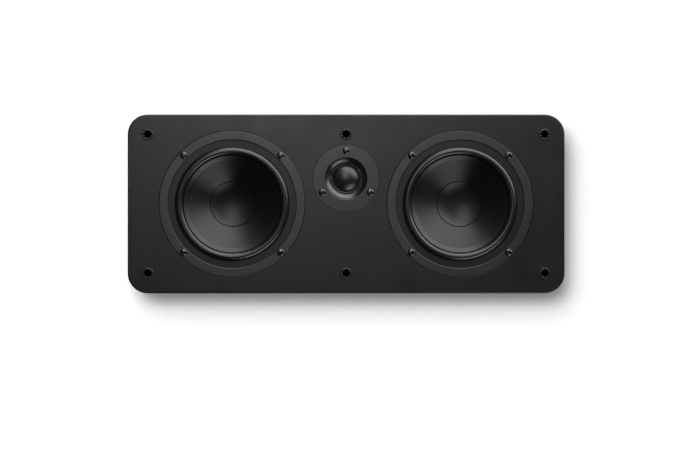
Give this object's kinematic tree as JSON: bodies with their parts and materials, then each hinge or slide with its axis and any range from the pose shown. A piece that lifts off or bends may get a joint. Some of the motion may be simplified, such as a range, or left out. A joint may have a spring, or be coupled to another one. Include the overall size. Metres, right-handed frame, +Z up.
{
  "type": "wall speaker",
  "caption": "Shallow rounded box speaker for a wall, with two cone drivers beside a dome driver, pegless grille sockets and a recessed terminal cup at the back.",
  "frame": {"origin": "middle of the back, in the wall's plane", "axes": "+X along the long side, +Z up, -Y out of the front into the room"},
  "size_m": [0.437, 0.1006, 0.179],
  "materials": {
    "black_paint": "satin black paint on fibreboard",
    "back_paint": "flat black paint on fibreboard",
    "bare_board": "bare fibreboard",
    "wadding": "loose polyester wadding",
    "socket_plastic": "moulded plastic",
    "zinc_steel": "bright zinc",
    "basket_paint": "black powder coat",
    "trim_plastic": "fine turned texture",
    "roll_rubber": "satin rubber",
    "cone_black": "satin mineral-filled plastic",
    "spider_cloth": "resin-stiffened woven cotton",
    "coil_copper": "enamelled copper wire",
    "magnet_ferrite": "sintered ferrite",
    "magnet_nickel": "nickel plate",
    "black_screw": "black oxide",
    "plate_plastic": "satin moulded plastic",
    "dome_silk": "coated woven silk",
    "cup_plastic": "textured moulded plastic",
    "gold_plate": "gold plate",
    "red_plastic": "clear red cap",
    "black_plastic": "gloss black cap",
    "circuit_board": "phenolic board",
    "capacitor_film": "wrapped film",
    "resistor_ceramic": "white ceramic",
    "lead_sleeve": "soft insulation"
  },
  "bodies": {
    "cabinet": {"front_board": "black_paint", "cabinet_wrap": "black_paint", "back_board": "back_paint", "brace_left": "bare_board", "brace_right": "bare_board", "wadding": "wadding", "grille_sockets": "socket_plastic", "keyhole_plates": "zinc_steel", "keyhole_screws": "zinc_steel", "left_basket": "basket_paint", "left_trim_ring": "trim_plastic", "left_surround": "roll_rubber", "left_spider": "spider_cloth", "left_top_plate": "zinc_steel", "left_magnet": "magnet_ferrite", "left_yoke": "zinc_steel", "left_terminals": "gold_plate", "left_screws": "black_screw", "right_basket": "basket_paint", "right_trim_ring": "trim_plastic", "right_surround": "roll_rubber", "right_spider": "spider_cloth", "right_top_plate": "zinc_steel", "right_magnet": "magnet_ferrite", "right_yoke": "zinc_steel", "right_terminals": "gold_plate", "right_screws": "black_screw", "tweeter_face_plate": "plate_plastic", "tweeter_roll": "dome_silk", "tweeter_top_plate": "zinc_steel", "tweeter_magnet": "magnet_nickel", "tweeter_yoke": "zinc_steel", "tweeter_rear_cup": "cup_plastic", "tweeter_terminals": "gold_plate", "tweeter_screws": "black_screw", "terminal_cup": "cup_plastic", "cup_screws": "black_screw", "red_post": "gold_plate", "black_post": "gold_plate", "post_nuts": "magnet_nickel", "crossover_board": "circuit_board", "crossover_inductors": "coil_copper", "crossover_capacitors": "capacitor_film", "crossover_resistors": "resistor_ceramic", "left_leads": "lead_sleeve", "right_leads": "lead_sleeve", "tweeter_leads": "lead_sleeve"},
    "left_diaphragm": {"left_cone": "cone_black", "left_dust_cap": "cone_black", "left_voice_coil": "coil_copper"},
    "right_diaphragm": {"right_cone": "cone_black", "right_dust_cap": "cone_black", "right_voice_coil": "coil_copper"},
    "dome_diaphragm": {"tweeter_dome": "dome_silk", "tweeter_coil": "coil_copper"},
    "red_clamp": {"red_collar": "gold_plate"},
    "red_nut": {"red_cap": "red_plastic"},
    "black_clamp": {"black_collar": "gold_plate"},
    "black_nut": {"black_cap": "black_plastic"}
  },
  "joints": [
    {"name": "left_cone_travel", "type": "slide", "parent": "cabinet", "child": "left_diaphragm", "axis": [0, -1, 0], "range_m": [-0.004, 0.004], "stiffness_N_per_m": 1000, "deforming": ["left_surround", "left_spider"]},
    {"name": "right_cone_travel", "type": "slide", "parent": "cabinet", "child": "right_diaphragm", "axis": [0, -1, 0], "range_m": [-0.004, 0.004], "stiffness_N_per_m": 1000, "deforming": ["right_surround", "right_spider"]},
    {"name": "dome_travel", "type": "slide", "parent": "cabinet", "child": "dome_diaphragm", "axis": [0, -1, 0], "range_m": [-0.0004, 0.0004], "stiffness_N_per_m": 3000, "deforming": ["tweeter_roll"]},
    {"name": "red_collar_slide", "type": "slide", "parent": "cabinet", "child": "red_clamp", "axis": [0, 1, 0], "range_m": [0, 0.004]},
    {"name": "red_cap_turn", "type": "hinge", "parent": "red_clamp", "child": "red_nut", "pos_m": [-0.0095, -0.0146, -0.04], "axis": [0, 1, 0], "range_deg": [0, 1440]},
    {"name": "black_collar_slide", "type": "slide", "parent": "cabinet", "child": "black_clamp", "axis": [0, 1, 0], "range_m": [0, 0.004]},
    {"name": "black_cap_turn", "type": "hinge", "parent": "black_clamp", "child": "black_nut", "pos_m": [0.0095, -0.0146, -0.04], "axis": [0, 1, 0], "range_deg": [0, 1440]}
  ],
  "couplings": [
    {"joint": "red_collar_slide", "follows": "red_cap_turn", "m_per_rad": 0.000159},
    {"joint": "black_collar_slide", "follows": "black_cap_turn", "m_per_rad": 0.000159}
  ]
}
